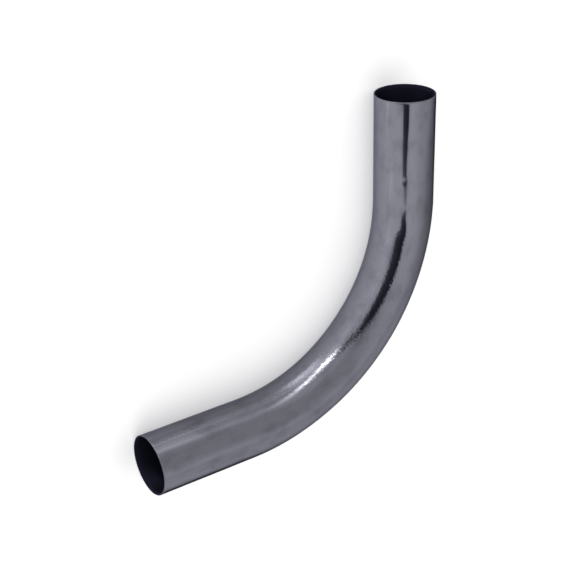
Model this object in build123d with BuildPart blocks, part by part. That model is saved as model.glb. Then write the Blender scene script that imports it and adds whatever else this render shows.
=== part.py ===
"""Bent steel conduit elbow: one thin-walled tube, turned through a quarter circle between two straight ends.

The elbow lies on its side, as it comes to rest on a table, so the plane of its bend is level.
The origin is the middle of its footprint, with Z = 0 on the surface that it lies on.
One straight end opens towards +Y and the other towards -X. All sizes are in millimetres.
"""

from build123d import *
from math import cos, radians, sin
import os

# Driving dimensions
OUTSIDE_DIAMETER = 50.0  # of the round tube, at its straight ends
WALL = 1.2
BEND_RADIUS = 164.0  # of the centre line
BEND_ANGLE = 90.0  # degrees that the tube turns
STRAIGHT_LENGTH = 89.0  # of each straight end, from its face to the start of the bend
FLATTENING = 1.75  # taken off the half width of the section, in the plane of the bend
SPREADING = 0.9  # added to the half height of the section, across the plane of the bend
RUN_IN_ANGLE = 28.0  # degrees of bend in which the round section turns oval, at each end
OUTER_EDGE_ROUND = 0.3  # deburred outer rim of each end face
INNER_EDGE_CHAMFER = 0.4  # reamed inner rim, so that no edge can cut a cable

# How finely the run from round to oval is drawn
STEPS_IN_RUN_IN = 4

outside_radius = OUTSIDE_DIAMETER / 2
bore_radius = outside_radius - WALL
axis_height = outside_radius + SPREADING  # the oval middle of the bend touches the table
centre_to_end = BEND_RADIUS + STRAIGHT_LENGTH  # from each end face to the other leg's axis
leg_offset = (centre_to_end - outside_radius) / 2  # from the origin to each leg's axis
bend_centre = Vector(leg_offset - BEND_RADIUS, BEND_RADIUS - leg_offset, axis_height)


def station(angle: float) -> Plane:
    """The plane square to the centre line, this many degrees round the bend from the +Y leg.

    It faces back towards the +Y end. Its own x axis points up, and its own y axis lies in the plane of the bend.
    """
    outward = Vector(cos(radians(angle)), -sin(radians(angle)), 0)
    back = Vector(sin(radians(angle)), cos(radians(angle)), 0)
    return Plane(origin=bend_centre + outward * BEND_RADIUS, x_dir=(0, 0, 1), z_dir=back)


def ovalness(angle: float) -> float:
    """How oval the section is here, in a smooth S curve from 0 at the ends of the bend to 1 past the run-in."""
    share = min(angle, BEND_ANGLE - angle, RUN_IN_ANGLE) / RUN_IN_ANGLE
    return share * share * (3 - 2 * share)


run_in = [RUN_IN_ANGLE * step / STEPS_IN_RUN_IN for step in range(STEPS_IN_RUN_IN + 1)]
run_out = [BEND_ANGLE - angle for angle in reversed(run_in)]
section_angles = [*run_in, BEND_ANGLE / 2, *run_out]

with BuildPart() as bent_tube:
    # The outside of the tube first, then its bore: two straight ends and the bend between them
    for radius, mode in ((outside_radius, Mode.ADD), (bore_radius, Mode.SUBTRACT)):
        for angle, length in ((0, STRAIGHT_LENGTH), (BEND_ANGLE, -STRAIGHT_LENGTH)):
            with BuildSketch(station(angle)):
                Circle(radius)
            extrude(amount=length, mode=mode)
        with BuildLine():
            CenterArc(bend_centre, BEND_RADIUS, start_angle=0, arc_size=-BEND_ANGLE)
        for angle in section_angles:
            with BuildSketch(station(angle)):
                Ellipse(radius + SPREADING * ovalness(angle), radius - FLATTENING * ovalness(angle))
        sweep(multisection=True, mode=mode)

    # Each cut end is rounded outside and reamed inside
    end_faces = bent_tube.faces().filter_by(GeomType.PLANE)
    outer_rims = [face.outer_wire().edge() for face in end_faces]
    fillet(outer_rims, OUTER_EDGE_ROUND)
    end_faces = bent_tube.faces().filter_by(GeomType.PLANE)
    inner_rims = [face.inner_wires()[0].edge() for face in end_faces]
    chamfer(inner_rims, INNER_EDGE_CHAMFER)

bent_tube.part.label = "bent_tube"

os.makedirs("parts", exist_ok=True)
export_step(bent_tube.part, "parts/bent_tube.step")
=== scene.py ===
"""Bent steel conduit elbow, lying on a pale floor in soft studio light.

The elbow is one drawn steel tube, bent through a quarter circle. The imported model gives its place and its
body; this script gives the tube a finer skin, its steel finish, and the studio around it.

Lengths are in millimetres where a class holds a size, and in metres once they reach a mesh.
"""

import logging
from dataclasses import dataclass, field
from enum import Enum
from math import cos, pi, radians, sin, tan

import bpy
import numpy as np
from mathutils import Matrix, Vector


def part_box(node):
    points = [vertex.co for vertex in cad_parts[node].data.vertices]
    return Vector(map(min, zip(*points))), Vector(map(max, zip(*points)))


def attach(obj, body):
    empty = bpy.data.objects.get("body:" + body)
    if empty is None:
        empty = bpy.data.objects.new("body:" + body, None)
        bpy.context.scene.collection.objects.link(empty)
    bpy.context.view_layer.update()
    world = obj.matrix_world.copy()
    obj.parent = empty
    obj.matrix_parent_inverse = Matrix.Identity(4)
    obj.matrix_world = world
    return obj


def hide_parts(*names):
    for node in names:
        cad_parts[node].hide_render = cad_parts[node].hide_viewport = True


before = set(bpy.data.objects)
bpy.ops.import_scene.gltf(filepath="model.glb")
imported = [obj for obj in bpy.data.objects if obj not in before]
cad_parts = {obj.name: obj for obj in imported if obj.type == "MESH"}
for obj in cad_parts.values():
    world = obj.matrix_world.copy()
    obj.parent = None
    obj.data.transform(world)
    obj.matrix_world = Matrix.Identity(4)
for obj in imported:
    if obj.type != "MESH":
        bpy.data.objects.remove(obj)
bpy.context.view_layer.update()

NODE = "bent_tube"
BODY = "root"
MM = 0.001  # metres in a millimetre

log = logging.getLogger("conduit_elbow")


def smooth_step(share: np.ndarray) -> np.ndarray:
    """An even S curve: 0 below 0, 1 above 1, and 3 t squared less 2 t cubed between them.

    Args:
        share: where each point lies between the two ends.

    Returns:
        The height of the curve at each point.
    """
    held = np.clip(share, 0.0, 1.0)
    return held * held * (3.0 - 2.0 * held)


def linear(level: float) -> float:
    """A channel of a colour as seen on a screen, from 0 to 1, made linear."""
    return level / 12.92 if level <= 0.04045 else ((level + 0.055) / 1.055) ** 2.4


@dataclass(frozen=True)
class Tone:
    """A colour, written as it looks on a screen, each channel from 0 to 255."""

    red: int
    green: int
    blue: int

    def rgba(self) -> tuple[float, float, float, float]:
        """The colour as Blender's sockets take it: linear, with an alpha of 1."""
        channels = (self.red, self.green, self.blue)
        return (*(linear(channel / 255) for channel in channels), 1.0)

    def over(self, shares: np.ndarray) -> np.ndarray:
        """The linear colour times each number of an array, with red, green and blue last."""
        return shares[..., None] * np.array(self.rgba()[:3])


class Reading(Enum):
    """The named attributes that the tube's mesh carries for its material."""

    STRAIGHTENED = "straightened"  # where each point would lie, in metres, if the tube were straight
    BEND_SHARE = "bend_share"  # 0 in the straight ends, 1 where the metal was stretched by the bend
    BORE_SHARE = "bore_share"  # 0 on the outside, 1 inside the tube
    RIM_SHARE = "rim_share"  # 1 on the deburred rims of the cut ends, 0 elsewhere


class Grade(Enum):
    """The named attributes that a studio card carries for its material."""

    COVER = "cover"  # 0 where the card is clear, 1 where it is solid
    LIGHT = "light"  # the light of its face, red, green and blue, where 1 is white


class NodeBoard:
    """Adds and joins the nodes of one shader tree."""

    def __init__(self, tree: bpy.types.NodeTree) -> None:
        """Takes over a tree and empties it.

        Args:
            tree: the node tree of a material or of the world.
        """
        self.tree = tree
        tree.nodes.clear()

    def add(self, kind: str, **settings: object) -> bpy.types.Node:
        """Adds a node.

        Args:
            kind: the node's type, without its ShaderNode prefix.
            settings: the node's own properties, and the values of its input sockets by their plain names
                with spaces as underscores.

        Returns:
            The new node.
        """
        node = self.tree.nodes.new("ShaderNode" + kind)
        for name, value in settings.items():
            if hasattr(node, name):
                setattr(node, name, value)
            else:
                node.inputs[name.replace("_", " ")].default_value = value
        return node

    def join(self, source: bpy.types.NodeSocket, target: bpy.types.NodeSocket) -> None:
        """Joins an output to an input."""
        self.tree.links.new(source, target)

    def reading(self, attribute: Enum) -> bpy.types.Node:
        """A node that reads one of the mesh's attributes."""
        return self.add("Attribute", attribute_name=attribute.value)

    def arithmetic(self, operation: str, *terms: object) -> bpy.types.NodeSocket:
        """Works out a number.

        Args:
            operation: the name of the Math node's operation.
            terms: its inputs in order, each an output socket or a number.

        Returns:
            The socket that holds the result.
        """
        node = self.add("Math", operation=operation)
        for socket, term in zip(node.inputs, terms):
            if isinstance(term, bpy.types.NodeSocket):
                self.join(term, socket)
            else:
                socket.default_value = term
        return node.outputs[0]

    def grain(self, scale: tuple[float, float, float], detail: float, roughness: float) -> bpy.types.NodeSocket:
        """Noise on the straightened tube.

        Args:
            scale: how many lumps there are to a metre, along the tube and both ways across it.
            detail: how many finer layers lie over the lumps.
            roughness: how strong those layers are.

        Returns:
            The socket with the noise, about 0.5 on average.
        """
        place = self.reading(Reading.STRAIGHTENED)
        stretch = self.add("Mapping", vector_type="POINT")
        stretch.inputs["Scale"].default_value = scale
        noise = self.add("TexNoise", noise_dimensions="3D", Scale=1.0, Detail=detail, Roughness=roughness)
        self.join(place.outputs["Vector"], stretch.inputs["Vector"])
        self.join(stretch.outputs["Vector"], noise.inputs["Vector"])
        return noise.outputs["Fac"]


@dataclass(frozen=True)
class DrawnSteel:
    """Bare drawn steel: smooth with faint drawing lines in the straight ends, pebbled where it was bent."""

    bright: Tone = Tone(131, 131, 142)  # the outside, where it mirrors a white surface
    dull: Tone = Tone(60, 60, 72)  # the outside's faint stains
    bore: Tone = Tone(58, 58, 78)  # painted shade: the inside is given a darker tone that stands in for the shade down the bore
    edge_tint: Tone = Tone(192, 192, 198)  # how much it mirrors at a glancing angle
    roughness: float = 0.05
    roughness_of_stains: float = 0.05  # added where it is stained
    roughness_of_bend: float = 0.05  # added where it was stretched
    roughness_of_rims: float = 0.45  # added on the cut ends
    roughness_of_bore: float = 0.45
    cloud_scale: tuple[float, float, float] = (50.0, 85.0, 85.0)
    line_scale: tuple[float, float, float] = (9.0, 900.0, 900.0)
    peel_scale: tuple[float, float, float] = (430.0, 540.0, 540.0)
    line_share: float = 0.09  # of the dull tone in the darkest drawing lines
    line_height: float = 0.004 * MM
    peel_height: float = 0.12 * MM

    def material(self, name: str) -> bpy.types.Material:
        """Makes the steel's material.

        Args:
            name: the material's name.

        Returns:
            A material that reads the tube's own attributes.
        """
        made = bpy.data.materials.new(name)
        made.use_nodes = True
        board = NodeBoard(made.node_tree)
        shader = board.add("BsdfPrincipled", Metallic=1.0)
        shader.inputs["Specular Tint"].default_value = self.edge_tint.rgba()
        bend = board.reading(Reading.BEND_SHARE).outputs["Fac"]
        bore = board.reading(Reading.BORE_SHARE).outputs["Fac"]
        clouds = board.grain(self.cloud_scale, detail=4.0, roughness=0.55)
        lines = board.grain(self.line_scale, detail=2.0, roughness=0.5)
        peel = board.grain(self.peel_scale, detail=1.0, roughness=0.4)

        stains = board.add("MapRange", interpolation_type="SMOOTHSTEP")
        stains.inputs["From Min"].default_value = 0.42
        stains.inputs["From Max"].default_value = 0.78
        stains.inputs["To Max"].default_value = 0.30
        board.join(clouds, stains.inputs["Value"])
        dullness = board.arithmetic("MULTIPLY_ADD", lines, self.line_share, stains.outputs["Result"])
        outside = self.blend(board, self.bright, self.dull, dullness)
        # the bore's darker tone is painted shade inside the tube
        colour = self.blend(board, outside, self.bore, bore)
        board.join(colour, shader.inputs["Base Color"])

        rough = board.arithmetic("MULTIPLY_ADD", clouds, self.roughness_of_stains, self.roughness)
        rough = board.arithmetic("MULTIPLY_ADD", bend, self.roughness_of_bend, rough)
        rough = board.arithmetic("MULTIPLY_ADD", bore, self.roughness_of_bore, rough)
        rim = board.reading(Reading.RIM_SHARE).outputs["Fac"]
        rough = board.arithmetic("MULTIPLY_ADD", rim, self.roughness_of_rims, rough)
        board.join(rough, shader.inputs["Roughness"])

        pebbles = board.arithmetic("MULTIPLY", peel, bend)
        drawn = board.add("Bump", Strength=1.0, Distance=self.line_height)
        pebbled = board.add("Bump", Strength=1.0, Distance=self.peel_height)
        board.join(lines, drawn.inputs["Height"])
        board.join(pebbles, pebbled.inputs["Height"])
        board.join(drawn.outputs["Normal"], pebbled.inputs["Normal"])
        board.join(pebbled.outputs["Normal"], shader.inputs["Normal"])

        output = board.add("OutputMaterial")
        board.join(shader.outputs["BSDF"], output.inputs["Surface"])
        return made

    @staticmethod
    def blend(board: NodeBoard, low: object, high: object, share: bpy.types.NodeSocket) -> bpy.types.NodeSocket:
        """Mixes two colours.

        Args:
            board: where the nodes go.
            low: the Tone or socket where share is 0.
            high: the Tone or socket where share is 1.
            share: the socket that chooses between them.

        Returns:
            The socket with the mixed colour.
        """
        mix = board.add("Mix", data_type="RGBA")
        board.join(share, mix.inputs["Factor"])
        for socket, colour in ((mix.inputs[6], low), (mix.inputs[7], high)):
            if isinstance(colour, Tone):
                socket.default_value = colour.rgba()
            else:
                board.join(colour, socket)
        return mix.outputs[2]


def write(mesh: bpy.types.Mesh, attribute: Enum, values: np.ndarray) -> None:
    """Puts one value for each point into a mesh.

    Args:
        mesh: the mesh.
        attribute: which attribute to write.
        values: a number or a vector for each point of a grid, row by row.
    """
    vector = values.ndim == 3
    made = mesh.attributes.new(attribute.value, "FLOAT_VECTOR" if vector else "FLOAT", "POINT")
    made.data.foreach_set("vector" if vector else "value", values.astype(np.float32).ravel())


@dataclass
class BentTube:
    """The tube itself: one skin that runs along the outside, over a rim, back through the bore, and round again."""

    outside_radius: float = 25.0
    wall: float = 1.2
    bend_radius: float = 164.0
    bend_angle: float = 90.0
    straight_length: float = 89.0
    flattening: float = 1.75
    spreading: float = 0.9
    run_in_angle: float = 28.0
    rim_round: float = 0.3
    rim_chamfer: float = 0.4
    steps_along: int = 330  # along the outside
    steps_in_bore: int = 150
    steps_around: int = 160
    steps_in_rim_round: int = 5
    wave_depth: float = 0.05  # how far the drawn wall strays from a true cylinder
    mark_depth: float = 0.05  # of the shallow mark that the bending clamp left
    mark_along: float = 66.0  # where it is along the centre line, and how far round
    mark_around: float = 127.0
    mark_reach: tuple[float, float] = (4.5, 3.0)  # from its middle to its rim, along and across
    finish: DrawnSteel = field(default_factory=DrawnSteel)

    @property
    def bend_length(self) -> float:
        """The length of the centre line round the bend."""
        return self.bend_radius * radians(self.bend_angle)

    @property
    def length(self) -> float:
        """The length of the whole centre line."""
        return 2 * self.straight_length + self.bend_length

    def place_bend(self) -> None:
        """Works out the bend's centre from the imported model's box, which the tube's two ends reach."""
        low, high = (np.array(corner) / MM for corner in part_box(NODE))
        to_axis = self.outside_radius + self.bend_radius
        self.bend_centre = np.array([high[0] - to_axis, low[1] + to_axis, self.outside_radius + self.spreading])

    def skin_path(self) -> tuple[np.ndarray, np.ndarray]:
        """One lengthwise cut through the wall, as a closed line.

        The line runs along the outside from the +Y end, round the second rim, back along the bore and round
        the first rim. A rim is a quarter circle, then the flat cut face, then a straight chamfer.

        Returns:
            The distance along the centre line and the depth below the outside, at each point of the line.
        """
        quarter = np.linspace(0.0, pi / 2, self.steps_in_rim_round + 1)
        rim_along = np.concatenate([self.rim_round * (1 - np.sin(quarter)), [0.0, self.rim_chamfer]])
        face_end = self.wall - self.rim_chamfer
        rim_depth = np.concatenate([self.rim_round * (1 - np.cos(quarter)), [face_end, self.wall]])
        outside = np.linspace(self.rim_round, self.length - self.rim_round, self.steps_along + 1)[1:-1]
        inside = np.linspace(self.length - self.rim_chamfer, self.rim_chamfer, self.steps_in_bore + 1)[1:-1]
        along = np.concatenate([outside, self.length - rim_along, inside, rim_along[::-1]])
        depth = np.concatenate([0 * outside, rim_depth, 0 * inside + self.wall, rim_depth[::-1]])
        return along, depth

    def ovalness(self, along: np.ndarray) -> np.ndarray:
        """How oval the section is: an S curve from 0 at each end of the bend to 1 past its run-in."""
        degrees = (along - self.straight_length) / self.bend_length * self.bend_angle
        return smooth_step(np.minimum(degrees, self.bend_angle - degrees) / self.run_in_angle)

    def relief(self, along: np.ndarray, around: np.ndarray) -> np.ndarray:
        """How far the outside lies below its true shape, in millimetres.

        It is the sum of three long waves, each a cosine of a steady climb along and around the tube, and of
        one shallow oval mark, an S curve of the distance from its middle.

        Args:
            along: distances along the centre line.
            around: angles round the section, in radians.

        Returns:
            The depths, none of them negative.
        """
        waves = ((0.11, 2, 0.4, 0.45), (0.17, 3, 2.1, 0.35), (0.29, 1, 4.0, 0.20))
        depth = sum(
            share * (1 - np.cos(climb * along + turns * around + start)) / 2
            for climb, turns, start, share in waves
        )
        across = self.outside_radius * (around - radians(self.mark_around))
        to_mark = np.hypot((along - self.mark_along) / self.mark_reach[0], across / self.mark_reach[1])
        return self.wave_depth * depth + self.mark_depth * (1 - smooth_step(to_mark))

    def directions(self, along: np.ndarray) -> tuple[np.ndarray, np.ndarray]:
        """The centre line, which is straight, then an arc of a circle, then straight.

        Args:
            along: distances along the centre line.

        Returns:
            Its points, and the unit vectors out of the bend that are square to it.
        """
        turn = np.clip((along - self.straight_length) / self.bend_radius, 0.0, radians(self.bend_angle))
        outward = np.stack([np.cos(turn), -np.sin(turn), 0 * turn], axis=-1)
        forward = np.stack([-np.sin(turn), -np.cos(turn), 0 * turn], axis=-1)
        past_arc = along - self.straight_length - turn * self.bend_radius
        return self.bend_centre + self.bend_radius * outward + past_arc[..., None] * forward, outward

    def beside(self, along: np.ndarray, distance: np.ndarray) -> np.ndarray:
        """Points this far out of the bend from the centre line, in millimetres."""
        centre, outward = self.directions(along)
        return centre + distance[..., None] * outward

    def surface(self, along: np.ndarray, depth: np.ndarray, around: np.ndarray) -> np.ndarray:
        """Points on the tube.

        A point is the centre line's point, plus the section's half width times the cosine of the angle,
        outwards in the plane of the bend, plus its half height times the sine, upwards.

        Args:
            along: distances along the centre line.
            depth: depths below the outside.
            around: angles round the section, in radians, from the outer side of the bend upwards.

        Returns:
            The points in millimetres, with x, y and z last.
        """
        centre, outward = self.directions(along)
        oval = self.ovalness(along)
        half_width = self.outside_radius - self.flattening * oval - depth
        half_height = self.outside_radius + self.spreading * oval - depth
        up = np.array([0.0, 0.0, 1.0])
        across = (half_width * np.cos(around))[..., None] * outward
        return centre + across + (half_height * np.sin(around))[..., None] * up

    def build(self) -> bpy.types.Object:
        """Makes the tube's mesh, its attributes and its finish.

        Returns:
            The finished piece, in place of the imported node.
        """
        self.place_bend()
        path_along, path_depth = self.skin_path()
        angles = np.arange(self.steps_around) * (2 * pi / self.steps_around)
        along, around = np.meshgrid(path_along, angles, indexing="ij")
        depth = np.broadcast_to(path_depth[:, None], along.shape)
        on_outside = 1 - smooth_step(depth / self.rim_round)
        points = self.surface(along, depth + on_outside * self.relief(along, around), around) * MM

        rows, columns = along.shape
        row, column = np.meshgrid(np.arange(rows), np.arange(columns), indexing="ij")
        corners = ((row, column), (row, column + 1), (row + 1, column + 1), (row + 1, column))
        faces = np.stack([(r % rows) * columns + c % columns for r, c in corners], axis=-1).reshape(-1, 4)
        mesh = bpy.data.meshes.new(NODE + "_skin")
        mesh.from_pydata(points.reshape(-1, 3), [], faces)
        mesh.shade_smooth()
        mesh.set_sharp_from_angle(angle=radians(35))

        charts = np.stack([[r / rows, c / columns] for r, c in corners]).transpose(2, 3, 0, 1)
        mesh.uv_layers.new(name="tube").uv.foreach_set("vector", charts.astype(np.float32).ravel())
        radius = self.outside_radius - depth
        straightened = np.stack([along, radius * np.cos(around), radius * np.sin(around)], axis=-1) * MM
        write(mesh, Reading.STRAIGHTENED, straightened)
        write(mesh, Reading.BEND_SHARE, self.ovalness(along))
        write(mesh, Reading.BORE_SHARE, smooth_step(depth / self.wall))
        to_end = np.minimum(along, self.length - along)
        write(mesh, Reading.RIM_SHARE, 1 - smooth_step(to_end / self.rim_chamfer - 1))
        mesh.materials.append(self.finish.material("drawn_steel"))

        piece = bpy.data.objects.new(NODE + "_skin", mesh)
        bpy.context.scene.collection.objects.link(piece)
        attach(piece, BODY)
        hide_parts(NODE)
        return piece


@dataclass(frozen=True)
class Bearing:
    """A direction from the middle of the object: an azimuth from +X towards +Y, and a height above the floor."""

    azimuth: float
    elevation: float

    def unit(self) -> Vector:
        """The direction as a vector of length 1."""
        flat = cos(radians(self.elevation))
        turn = radians(self.azimuth)
        return Vector((flat * cos(turn), flat * sin(turn), sin(radians(self.elevation))))


def facing(direction: Vector, roll: float) -> Matrix:
    """The turn of something that stands out in a direction and looks back along it.

    Args:
        direction: a unit vector from the middle of the object.
        roll: how far its upper side leans over towards its right, in degrees.

    Returns:
        A rotation whose z axis is the direction.
    """
    level_up = (Vector((0, 0, 1)) - direction * direction.z).normalized()
    level_right = level_up.cross(direction)
    up = level_up * cos(radians(roll)) + level_right * sin(radians(roll))
    return Matrix((up.cross(direction), up, direction)).transposed()


@dataclass(frozen=True)
class Viewpoint:
    """The camera, where the photograph was taken from. It looks down on the elbow as it lies."""

    bearing: Bearing = Bearing(138.205, 47.992)
    roll: float = -122.082
    target: tuple[float, float, float] = (-1.2, -1.5, 25.9)
    distance: float = 997.4
    lens: float = 77.32
    sensor: float = 36.0

    def axes(self) -> Matrix:
        """The camera's right, up and backward axes, as the columns of a matrix."""
        return facing(self.bearing.unit(), self.roll)

    def build(self) -> bpy.types.Object:
        """Makes the scene's camera."""
        data = bpy.data.cameras.new("camera")
        data.lens = self.lens
        data.sensor_width = self.sensor
        camera = bpy.data.objects.new("camera", data)
        place = (Vector(self.target) + self.bearing.unit() * self.distance) * MM
        camera.matrix_world = Matrix.Translation(place) @ self.axes().to_4x4()
        bpy.context.scene.collection.objects.link(camera)
        bpy.context.scene.camera = camera
        return camera


@dataclass(frozen=True)
class Lamp:
    """A flat lamp that faces the elbow."""

    name: str
    bearing: Bearing
    wide: float  # degrees, seen from the elbow
    high: float
    roll: float
    brightness: float  # of its face, where 1 is white
    distance: float = 1500.0

    def build(self) -> bpy.types.Object:
        """Makes the lamp. Its power is its brightness times pi times its area."""
        data = bpy.data.lights.new(self.name, "AREA")
        data.shape = "ELLIPSE"
        data.size = 2 * self.distance * MM * tan(radians(self.wide / 2))
        data.size_y = 2 * self.distance * MM * tan(radians(self.high / 2))
        data.energy = self.brightness * pi * data.size * data.size_y * pi / 4
        lamp = bpy.data.objects.new(self.name, data)
        place = self.bearing.unit() * self.distance * MM
        lamp.matrix_world = Matrix.Translation(place) @ facing(self.bearing.unit(), self.roll).to_4x4()
        lamp.visible_camera = False
        bpy.context.scene.collection.objects.link(lamp)
        return lamp


def hang_card(name: str, points: np.ndarray, cover: np.ndarray, light: np.ndarray) -> None:
    """Makes a card of the studio that only mirror-like rays meet, so it lights nothing and shades nothing.

    Args:
        name: the card's name.
        points: a grid of points in millimetres, with x, y and z last.
        cover: how solid the card is at each point.
        light: how bright it is at each point, with red, green and blue last.
    """
    rows, columns = cover.shape
    row, column = np.meshgrid(np.arange(rows - 1), np.arange(columns - 1), indexing="ij")
    corners = ((row, column), (row, column + 1), (row + 1, column + 1), (row + 1, column))
    faces = np.stack([r * columns + c for r, c in corners], axis=-1).reshape(-1, 4)
    mesh = bpy.data.meshes.new(name)
    mesh.from_pydata(points.reshape(-1, 3) * MM, [], faces)
    write(mesh, Grade.COVER, cover)
    write(mesh, Grade.LIGHT, light)

    paint = bpy.data.materials.new(name)
    paint.use_nodes = True
    board = NodeBoard(paint.node_tree)
    glow = board.add("Emission", Strength=1.0)
    board.join(board.reading(Grade.LIGHT).outputs["Color"], glow.inputs["Color"])
    clear = board.add("BsdfTransparent")
    mix = board.add("MixShader")
    board.join(board.reading(Grade.COVER).outputs["Fac"], mix.inputs[0])
    board.join(clear.outputs["BSDF"], mix.inputs[1])
    board.join(glow.outputs["Emission"], mix.inputs[2])
    output = board.add("OutputMaterial")
    board.join(mix.outputs["Shader"], output.inputs["Surface"])
    mesh.materials.append(paint)

    card = bpy.data.objects.new(name, mesh)
    bpy.context.scene.collection.objects.link(card)
    card.visible_camera = False
    card.visible_diffuse = False
    card.visible_transmission = False
    card.visible_shadow = False


@dataclass(frozen=True)
class StandRow:
    """One level of the dark stand, in millimetres across and along the camera's upright axis."""

    height: float
    left: float
    left_blur: float  # half the width of the soft edge
    right: float
    right_blur: float
    cover: float  # how solid it is between its edges


@dataclass(frozen=True)
class DarkStand:
    """The dark outline of a camera on its stand, which the polished tube mirrors as a narrow black streak.

    It stands behind the camera, square to its line of sight.
    """

    distance: float = 1300.0
    rows: tuple[StandRow, ...] = (
        StandRow(-1470, 100, 60, 400, 40, 0.00),
        StandRow(-1440, 100, 60, 400, 40, 0.15),
        StandRow(-1400, 40, 80, 420, 40, 0.80),
        StandRow(-1350, -130, 100, 335, 50, 0.90),
        StandRow(-1300, -170, 95, 310, 50, 0.93),
        StandRow(-1240, -180, 85, 400, 60, 0.98),
        StandRow(-1190, -175, 70, 470, 55, 1.00),
        StandRow(-1120, -165, 65, 510, 55, 1.00),
        StandRow(-1095, -420, 110, 430, 55, 0.97),
        StandRow(-1060, -560, 140, 415, 55, 0.99),
        StandRow(-1000, -640, 140, 330, 60, 1.00),
        StandRow(-880, -690, 130, 245, 60, 1.00),
        StandRow(-790, -715, 125, 205, 55, 1.00),
        StandRow(-640, -730, 115, 150, 50, 1.00),
        StandRow(-500, -725, 95, 105, 55, 1.00),
        StandRow(-340, -710, 80, 80, 55, 1.00),
        StandRow(-180, -690, 90, 85, 90, 1.00),
        StandRow(-20, -640, 75, 0, 130, 1.00),
        StandRow(140, -600, 55, -90, 110, 1.00),
        StandRow(220, -590, 50, -140, 65, 1.00),
        StandRow(300, -580, 45, -160, 55, 0.92),
        StandRow(360, -580, 45, -180, 50, 0.55),
        StandRow(460, -590, 45, -220, 45, 0.50),
        StandRow(520, -600, 35, -260, 35, 0.80),
        StandRow(620, -620, 35, -300, 30, 0.95),
        StandRow(700, -610, 35, -340, 30, 0.80),
        StandRow(800, -560, 45, -380, 30, 0.40),
        StandRow(860, -540, 45, -400, 30, 0.00),
    )
    halo: float = 0.14  # the cover just outside the soft edges
    left_halo: float = 0.25  # the same at the left edge, between the two heights of its span
    left_halo_span: tuple[float, float] = (-1100.0, -200.0)
    left_halo_fade: float = 120.0  # the height over which it falls back to the plain halo
    halo_reach: float = 350.0
    left_share: float = 0.92  # of its cover, at its left edge
    steps: int = 160
    tint: Tone = Tone(33, 33, 51)

    def build(self, view: Viewpoint) -> None:
        """Makes the stand behind a viewpoint.

        Each level is a straight line between two levels of the table. It is solid between its soft edges,
        with a faint halo outside them.
        """
        names = ("height", "left", "left_blur", "right", "right_blur", "cover")
        table = np.array([[getattr(row, name) for name in names] for row in self.rows])
        height = np.linspace(table[0, 0], table[-1, 0], self.steps)
        left, left_blur, right, right_blur, solid = (np.interp(height, table[:, 0], c) for c in table.T[1:])
        outer = left - left_blur
        inner = right + right_blur
        across = np.stack(
            [outer - self.halo_reach, outer, left + left_blur, right - right_blur, inner, inner + self.halo_reach],
            axis=1,
        )
        low, high = self.left_halo_span
        inside_span = smooth_step(np.minimum(height - low, high - height) / self.left_halo_fade + 1)
        halo = self.halo * solid
        left_halo = halo + (self.left_halo - self.halo) * inside_span * solid
        cover = np.stack([0 * solid, left_halo, self.left_share * solid, solid, halo, 0 * solid], axis=1)
        axes = np.array(view.axes())
        middle = np.array([0.0, 0.0, view.target[2]]) + axes[:, 2] * self.distance
        points = middle + across[..., None] * axes[:, 0] + height[:, None, None] * axes[:, 1]
        hang_card("dark_stand", points, cover, self.tint.over(np.ones(across.shape)))


@dataclass(frozen=True)
class ShadePost:
    """How dark the edge shade is beside one station of the tube's centre line."""

    station: float  # along the centre line, in millimetres
    cover: float  # how solid the curtain is near the floor
    top: float  # the height at which it ends
    hem: float  # how solid its low hem is


@dataclass(frozen=True)
class EdgeShade:
    """A low dark curtain with a darker hem, which stands on the floor along the outer side of the tube.

    The tube mirrors it as the dark line along its outer edge, which is strongest on the two straight ends.
    """

    distance: float = 75.0  # from the tube's centre line
    nearest: float = 27.0  # how near to that line its foot reaches, flat on the floor
    foot_height: float = 1.0
    highest: float = 180.0
    solid_height: float = 20.0  # below this, a curtain is as solid as its cover says
    hem_top: float = 46.0
    hem_fade: float = 16.0
    posts: tuple[ShadePost, ...] = (
        ShadePost(-150.0, 1.00, 85.0, 0.90),
        ShadePost(30.0, 1.00, 85.0, 0.90),
        ShadePost(90.0, 0.79, 149.0, 0.85),
        ShadePost(150.0, 0.59, 180.0, 0.60),
        ShadePost(205.0, 0.10, 180.0, 0.35),
        ShadePost(280.0, 0.16, 147.0, 0.45),
        ShadePost(335.0, 0.11, 74.0, 0.90),
        ShadePost(600.0, 0.11, 74.0, 0.90),
    )
    steps_along: int = 160
    steps_up: int = 60
    tint: Tone = Tone(30, 30, 40)

    def build(self, tube: BentTube) -> None:
        """Makes the curtain round a tube.

        Its cover is that of its post times the power 1.5 of how far the point lies from its top towards its
        solid height. The hem's cover falls straight to nothing at its own top, and the greater one counts.
        """
        table = np.array([(post.station, post.cover, post.top, post.hem) for post in self.posts])
        station = np.linspace(table[0, 0], table[-1, 0], self.steps_along)[:, None]
        full, top, hem = (np.interp(station, table[:, 0], table[:, k]) for k in (1, 2, 3))
        rise = np.linspace(self.foot_height, self.highest, self.steps_up)
        reach = np.append(self.nearest, np.full(self.steps_up, self.distance))[None, :]
        height = np.append(self.foot_height, rise)[None, :]
        curtain = full * np.clip((top - height) / (top - self.solid_height), 0.0, 1.0) ** 1.5
        low = hem * np.clip((self.hem_top - height) / self.hem_fade, 0.0, 1.0)
        points = tube.beside(station + 0 * height, reach)
        points[..., 2] = height
        cover = np.maximum(curtain, low)
        hang_card("edge_shade", points, cover, self.tint.over(np.ones(cover.shape)))


@dataclass(frozen=True)
class Knot:
    """One place on the light strip's middle line."""

    bearing: Bearing
    brightness: float
    spread: float  # degrees from the middle line to either edge


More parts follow.
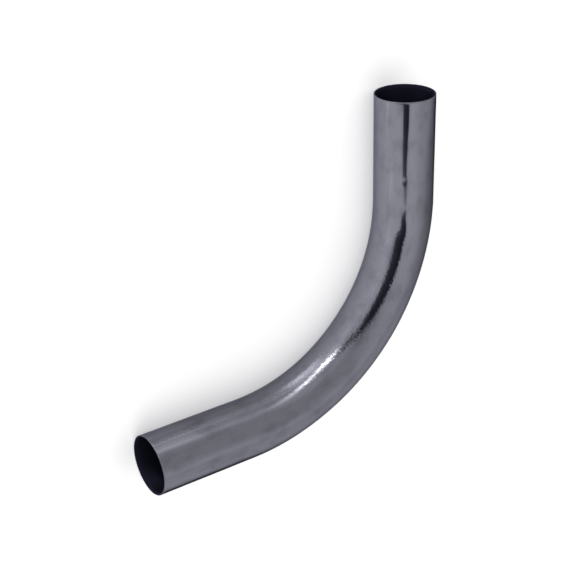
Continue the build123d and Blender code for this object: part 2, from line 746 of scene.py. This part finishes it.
@dataclass(frozen=True)
class LightStrip:
    """A long curved reflector that fades out to one side, which the bend mirrors as its highlight."""

    distance: float = 1500.0
    knots: tuple[Knot, ...] = (
        Knot(Bearing(123.0, 5.0), 0.9, 4.0),
        Knot(Bearing(119.5, 5.0), 2.2, 8.0),
        Knot(Bearing(115.0, 5.2), 7.0, 8.5),
        Knot(Bearing(107.5, 4.0), 6.6, 9.0),
        Knot(Bearing(103.5, 5.5), 5.5, 9.0),
        Knot(Bearing(97.0, 8.9), 5.5, 8.5),
        Knot(Bearing(93.5, 10.0), 5.2, 8.5),
        Knot(Bearing(87.0, 14.5), 2.7, 9.0),
        Knot(Bearing(80.0, 19.8), 1.6, 10.0),
        Knot(Bearing(73.0, 20.8), 1.3, 11.0),
        Knot(Bearing(66.0, 20.5), 1.0, 11.0),
        Knot(Bearing(58.0, 19.5), 0.85, 11.0),
    )
    steps_along: int = 120
    steps_across: int = 13
    warm: Tone = Tone(255, 255, 243)  # its colour where it is at its brightest
    pale: Tone = Tone(255, 255, 255)  # its colour where it is no brighter than white

    def build(self) -> None:
        """Makes the strip.

        Its middle line runs from knot to knot. Across it, the cover is the square of a cosine.
        """
        table = np.array([(k.bearing.azimuth, k.bearing.elevation, k.brightness, k.spread) for k in self.knots])
        share = np.linspace(0, len(table) - 1, self.steps_along)
        azimuth, elevation, bright, spread = (np.interp(share, np.arange(len(table)), c) for c in table.T)
        side = np.linspace(-1.0, 1.0, self.steps_across)[None, :]
        slope = np.arctan2(np.gradient(elevation), np.gradient(azimuth))[:, None]
        turn = np.radians(azimuth[:, None] - side * spread[:, None] * np.sin(slope))
        rise = np.radians(elevation[:, None] + side * spread[:, None] * np.cos(slope))
        flat = np.cos(rise)
        points = self.distance * np.stack([flat * np.cos(turn), flat * np.sin(turn), np.sin(rise)], axis=-1)
        ends = np.clip(np.minimum(share, share[-1] - share), 0.0, 1.0)[:, None]
        cover = ends * np.cos(side * pi / 2) ** 2
        bright = bright[:, None] + 0 * side
        warmth = smooth_step((bright - 1) / (bright.max() - 1))
        hang_card("light_strip", points, cover, self.warm.over(bright * warmth) + self.pale.over(bright * (1 - warmth)))


@dataclass(frozen=True)
class SoftSpot:
    """A flat card with soft rims, lighter or darker than the floor, which the tube mirrors near its inner side."""

    name: str
    middle: tuple[float, float, float]
    reach: tuple[float, float]  # from the middle to the rim, along and across
    turn: float  # of its length, in degrees from +X
    brightness: float
    strength: float  # its cover at the middle
    upright: bool = False  # whether it stands, or lies flat
    core: float = 0.0  # the share of its length over which it is as solid as at the middle
    steps: int = 31

    def build(self) -> None:
        """Makes the card, whose cover falls from its middle along one S curve each way."""
        side = np.linspace(-1.0, 1.0, self.steps)
        u, v = np.meshgrid(side, side, indexing="ij")
        turn = radians(self.turn)
        length = np.array([cos(turn), sin(turn), 0.0])
        width = np.array([0.0, 0.0, 1.0]) if self.upright else np.array([-sin(turn), cos(turn), 0.0])
        points = self.middle + u[..., None] * self.reach[0] * length + v[..., None] * self.reach[1] * width
        lengthwise = smooth_step((np.abs(u) - self.core) / (1 - self.core))
        cover = self.strength * (1 - lengthwise) * (1 - smooth_step(np.abs(v)))
        hang_card(self.name, points, cover, np.full((*cover.shape, 3), self.brightness))


@dataclass(frozen=True)
class Patch:
    """A round patch of the surround that is lighter or darker than the rest, with a soft rim."""

    bearing: Bearing
    reach: float  # degrees from its middle to where it ends
    rim: float  # degrees over which it fades out
    change: float  # of the surround's brightness


@dataclass(frozen=True)
class Studio:
    """A pale floor in a soft surround."""

    floor_half_width: float = 6000.0
    floor_tone: Tone = Tone(248, 248, 248)
    camera_lift: float = 0.34  # how much of the floor's white doesn't depend on the light
    mirror_lift: float = 0.30  # the same where the steel mirrors it, at its most
    lift_from: float = 230.0  # the place along X where the mirrored lift begins, and where it is full
    lift_full: float = 60.0
    surround_level: float = 1.067
    patches: tuple[Patch, ...] = (
        Patch(Bearing(61.3, 12.3), reach=104.8, rim=46.8, change=-0.414),
        Patch(Bearing(-85.0, -9.7), reach=77.5, rim=14.4, change=-0.143),
        Patch(Bearing(103.9, -24.6), reach=73.3, rim=15.7, change=0.18),
        Patch(Bearing(-58.8, 40.5), reach=26.3, rim=26.3, change=-0.10),
    )
    lamp: Lamp = Lamp("key_lamp", Bearing(112.5, 5.0), wide=7.0, high=5.0, roll=0.0, brightness=60.0)
    stand: DarkStand = DarkStand()
    shade: EdgeShade = EdgeShade()
    strip: LightStrip = LightStrip()
    spots: tuple[SoftSpot, ...] = (
        SoftSpot("near_spot", (1.5, -38.0, 14.5), (13.0, 18.0), 0.0, brightness=2.8, strength=0.85, upright=True),
        SoftSpot("end_spot", (-84.0, 5.0, 50.0), (44.0, 52.0), -24.0, brightness=1.6, strength=0.38, upright=True),
        SoftSpot(
            "low_veil", (-85.0, -60.0, 20.0), (95.0, 31.0), 0.0, brightness=0.3, strength=0.45, upright=True, core=0.6
        ),
        SoftSpot("far_spot", (-80.0, 200.0, 1.0), (210.0, 70.0), 109.0, brightness=1.9, strength=0.85),
        SoftSpot("inner_shade", (-60.0, -75.0, 0.5), (150.0, 75.0), 0.0, brightness=0.45, strength=0.85),
    )

    def build_surround(self) -> None:
        """Lights the world, and shows plain white to the camera.

        The brightness in a direction is the level plus each patch's change times an S curve of the cosine
        of the angle from the patch's middle.
        """
        world = bpy.data.worlds.new("soft_surround")
        world.use_nodes = True
        bpy.context.scene.world = world
        board = NodeBoard(world.node_tree)
        direction = board.add("TexCoord").outputs["Generated"]
        level: object = self.surround_level
        for patch in self.patches:
            nearness = board.add("VectorMath", operation="DOT_PRODUCT")
            board.join(direction, nearness.inputs[0])
            nearness.inputs[1].default_value = patch.bearing.unit()
            share = board.add("MapRange", interpolation_type="SMOOTHSTEP")
            share.inputs["From Min"].default_value = cos(radians(patch.reach))
            share.inputs["From Max"].default_value = cos(radians(max(patch.reach - patch.rim, 0.0)))
            board.join(nearness.outputs["Value"], share.inputs["Value"])
            level = board.arithmetic("MULTIPLY_ADD", share.outputs["Result"], patch.change, level)
        soft = board.add("Background", Color=(1.0, 1.0, 1.0, 1.0))
        board.join(level, soft.inputs["Strength"])
        plain = board.add("Background", Color=(1.0, 1.0, 1.0, 1.0), Strength=1.0)
        ray = board.add("LightPath")
        mix = board.add("MixShader")
        board.join(ray.outputs["Is Camera Ray"], mix.inputs[0])
        board.join(soft.outputs["Background"], mix.inputs[1])
        board.join(plain.outputs["Background"], mix.inputs[2])
        output = board.add("OutputWorld")
        board.join(mix.outputs["Shader"], output.inputs["Surface"])

    def build_floor(self) -> bpy.types.Object:
        """Makes the floor: matt, and lifted to white where the camera or the steel sees it."""
        half = self.floor_half_width * MM
        mesh = bpy.data.meshes.new("pale_floor")
        corners = [(-half, -half, 0.0), (half, -half, 0.0), (half, half, 0.0), (-half, half, 0.0)]
        mesh.from_pydata(corners, [], [(0, 1, 2, 3)])
        paint = bpy.data.materials.new("pale_floor")
        paint.use_nodes = True
        board = NodeBoard(paint.node_tree)
        matt = board.add("BsdfDiffuse", Color=self.floor_tone.rgba(), Roughness=0.0)
        place = board.add("SeparateXYZ")
        board.join(board.add("TexCoord").outputs["Object"], place.inputs["Vector"])
        share = board.add("MapRange", interpolation_type="SMOOTHSTEP")
        share.inputs["From Min"].default_value = self.lift_full * MM
        share.inputs["From Max"].default_value = self.lift_from * MM
        share.inputs["To Min"].default_value = self.mirror_lift
        share.inputs["To Max"].default_value = 0.0
        board.join(place.outputs["X"], share.inputs["Value"])
        ray = board.add("LightPath")
        mirrored = board.arithmetic("MULTIPLY", ray.outputs["Is Glossy Ray"], share.outputs["Result"])
        seen = board.arithmetic("MULTIPLY_ADD", ray.outputs["Is Camera Ray"], self.camera_lift, mirrored)
        lift = board.add("Emission", Color=(1.0, 1.0, 1.0, 1.0))
        board.join(seen, lift.inputs["Strength"])
        both = board.add("AddShader")
        board.join(matt.outputs["BSDF"], both.inputs[0])
        board.join(lift.outputs["Emission"], both.inputs[1])
        output = board.add("OutputMaterial")
        board.join(both.outputs["Shader"], output.inputs["Surface"])
        mesh.materials.append(paint)
        floor = bpy.data.objects.new("pale_floor", mesh)
        bpy.context.scene.collection.objects.link(floor)
        return floor

    def build(self, view: Viewpoint, tube: BentTube) -> None:
        """Makes the whole studio around a viewpoint and a tube."""
        bpy.context.scene.view_settings.view_transform = "Standard"
        self.build_surround()
        self.build_floor()
        self.lamp.build()
        self.stand.build(view)
        self.shade.build(tube)
        self.strip.build()
        for spot in self.spots:
            spot.build()


def main() -> None:
    """Builds the camera, the tube and the studio, in that order, and logs the tube's points and faces, then the studio.
    """
    logging.basicConfig(level=logging.INFO, format="%(name)s: %(message)s")
    view = Viewpoint()
    view.build()
    tube = BentTube()
    piece = tube.build()
    log.info("%s: %d points, %d faces", piece.name, len(piece.data.vertices), len(piece.data.polygons))
    Studio().build(view, tube)
    log.info("studio around it")


if __name__ == "__main__":
    main()
